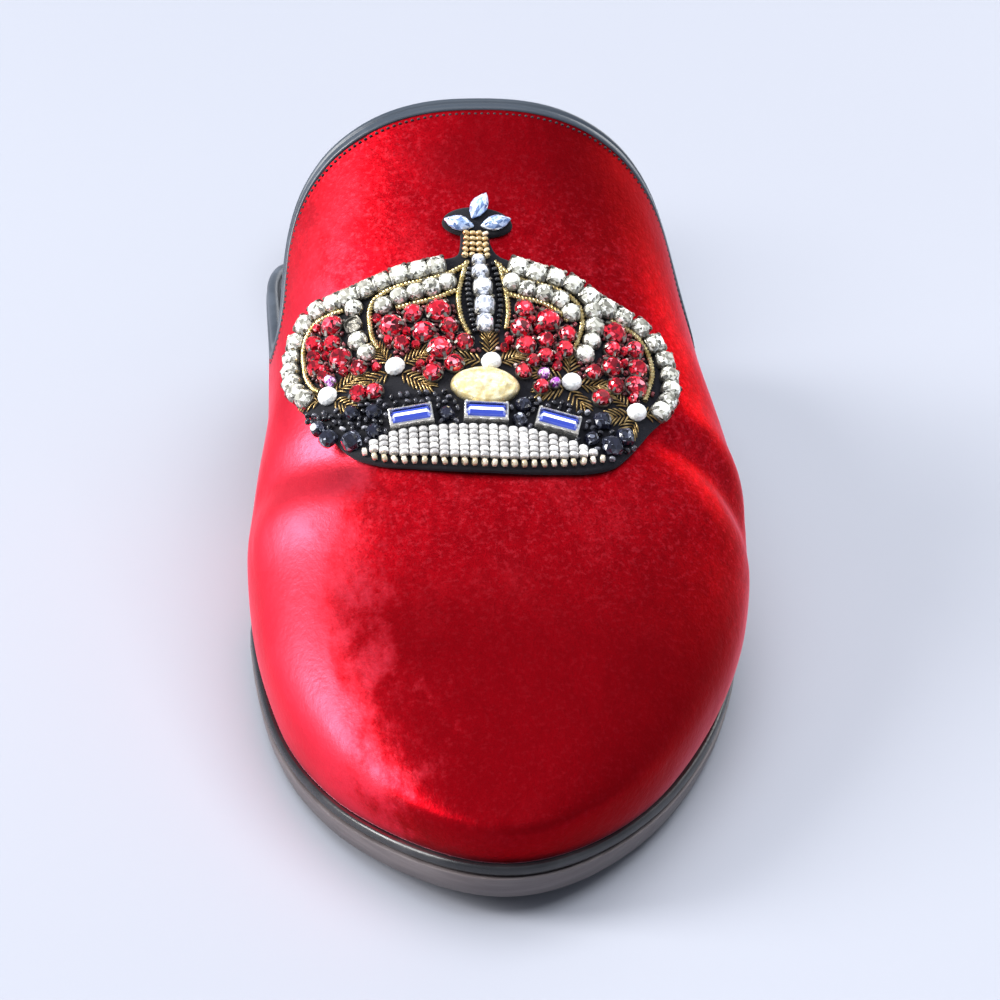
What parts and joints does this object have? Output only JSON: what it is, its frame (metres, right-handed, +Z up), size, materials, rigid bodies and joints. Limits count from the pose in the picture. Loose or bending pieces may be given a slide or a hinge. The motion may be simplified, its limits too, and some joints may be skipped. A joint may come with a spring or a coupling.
{
  "type": "loafer mule",
  "caption": "Backless slipper with a rounded toe, a high rounded tongue, a low stacked heel and a jewelled crown on its velvet vamp; left shoe.",
  "frame": {"origin": "the middle of the heel's resting face, on the floor", "axes": "+Z up, -Y towards the toe, +Y towards the heel, +X towards the outer (lateral) side of this left shoe"},
  "size_m": [0.105, 0.288, 0.0967],
  "materials": {
    "velvet": "crushed velvet, soft sheen",
    "binding_leather": "smooth black, satin",
    "rand_leather": "smooth black, satin",
    "insole_leather": "smooth black, matt",
    "outsole_leather": "grey-brown burnished edge",
    "heel_leather": "stacked, dark burnished edge",
    "lift_rubber": "matt black",
    "felt": "dense black felt",
    "red_glass": "faceted red stones",
    "clear_glass": "clear faceted stones in cups",
    "blue_glass": "pale blue faceted stones",
    "violet_glass": "clear baguettes with a blue-violet heart",
    "black_glass": "black faceted beads",
    "pearl_glass": "pearl-white and clear seed beads",
    "gold": "gold-coloured wire, beads and hammered sheet"
  },
  "bodies": {
    "root": {"upper": "velvet", "topline_binding": "binding_leather", "rand": "rand_leather", "insole": "insole_leather", "outsole": "outsole_leather", "heel": "heel_leather", "top_lift": "lift_rubber", "crown_backing": "felt", "finial_backing": "felt", "outer_field_medial": "red_glass", "outer_field_lateral": "red_glass", "inner_field_medial": "red_glass", "inner_field_lateral": "red_glass", "outer_arch_medial": "clear_glass", "outer_arch_lateral": "clear_glass", "inner_arch_medial": "clear_glass", "inner_arch_lateral": "clear_glass", "pillar": "clear_glass", "gold_setting": "gold", "marquise_top": "blue_glass", "marquise_medial": "blue_glass", "marquise_lateral": "blue_glass", "white_stone_1": "clear_glass", "white_stone_2": "clear_glass", "white_stone_3": "clear_glass", "white_stone_4": "clear_glass", "white_stone_5": "clear_glass", "medallion": "gold", "bead_band": "black_glass", "baguette_medial": "violet_glass", "baguette_middle": "violet_glass", "baguette_lateral": "violet_glass", "bead_panel": "pearl_glass", "gold_edging": "gold"}
  },
  "joints": []
}
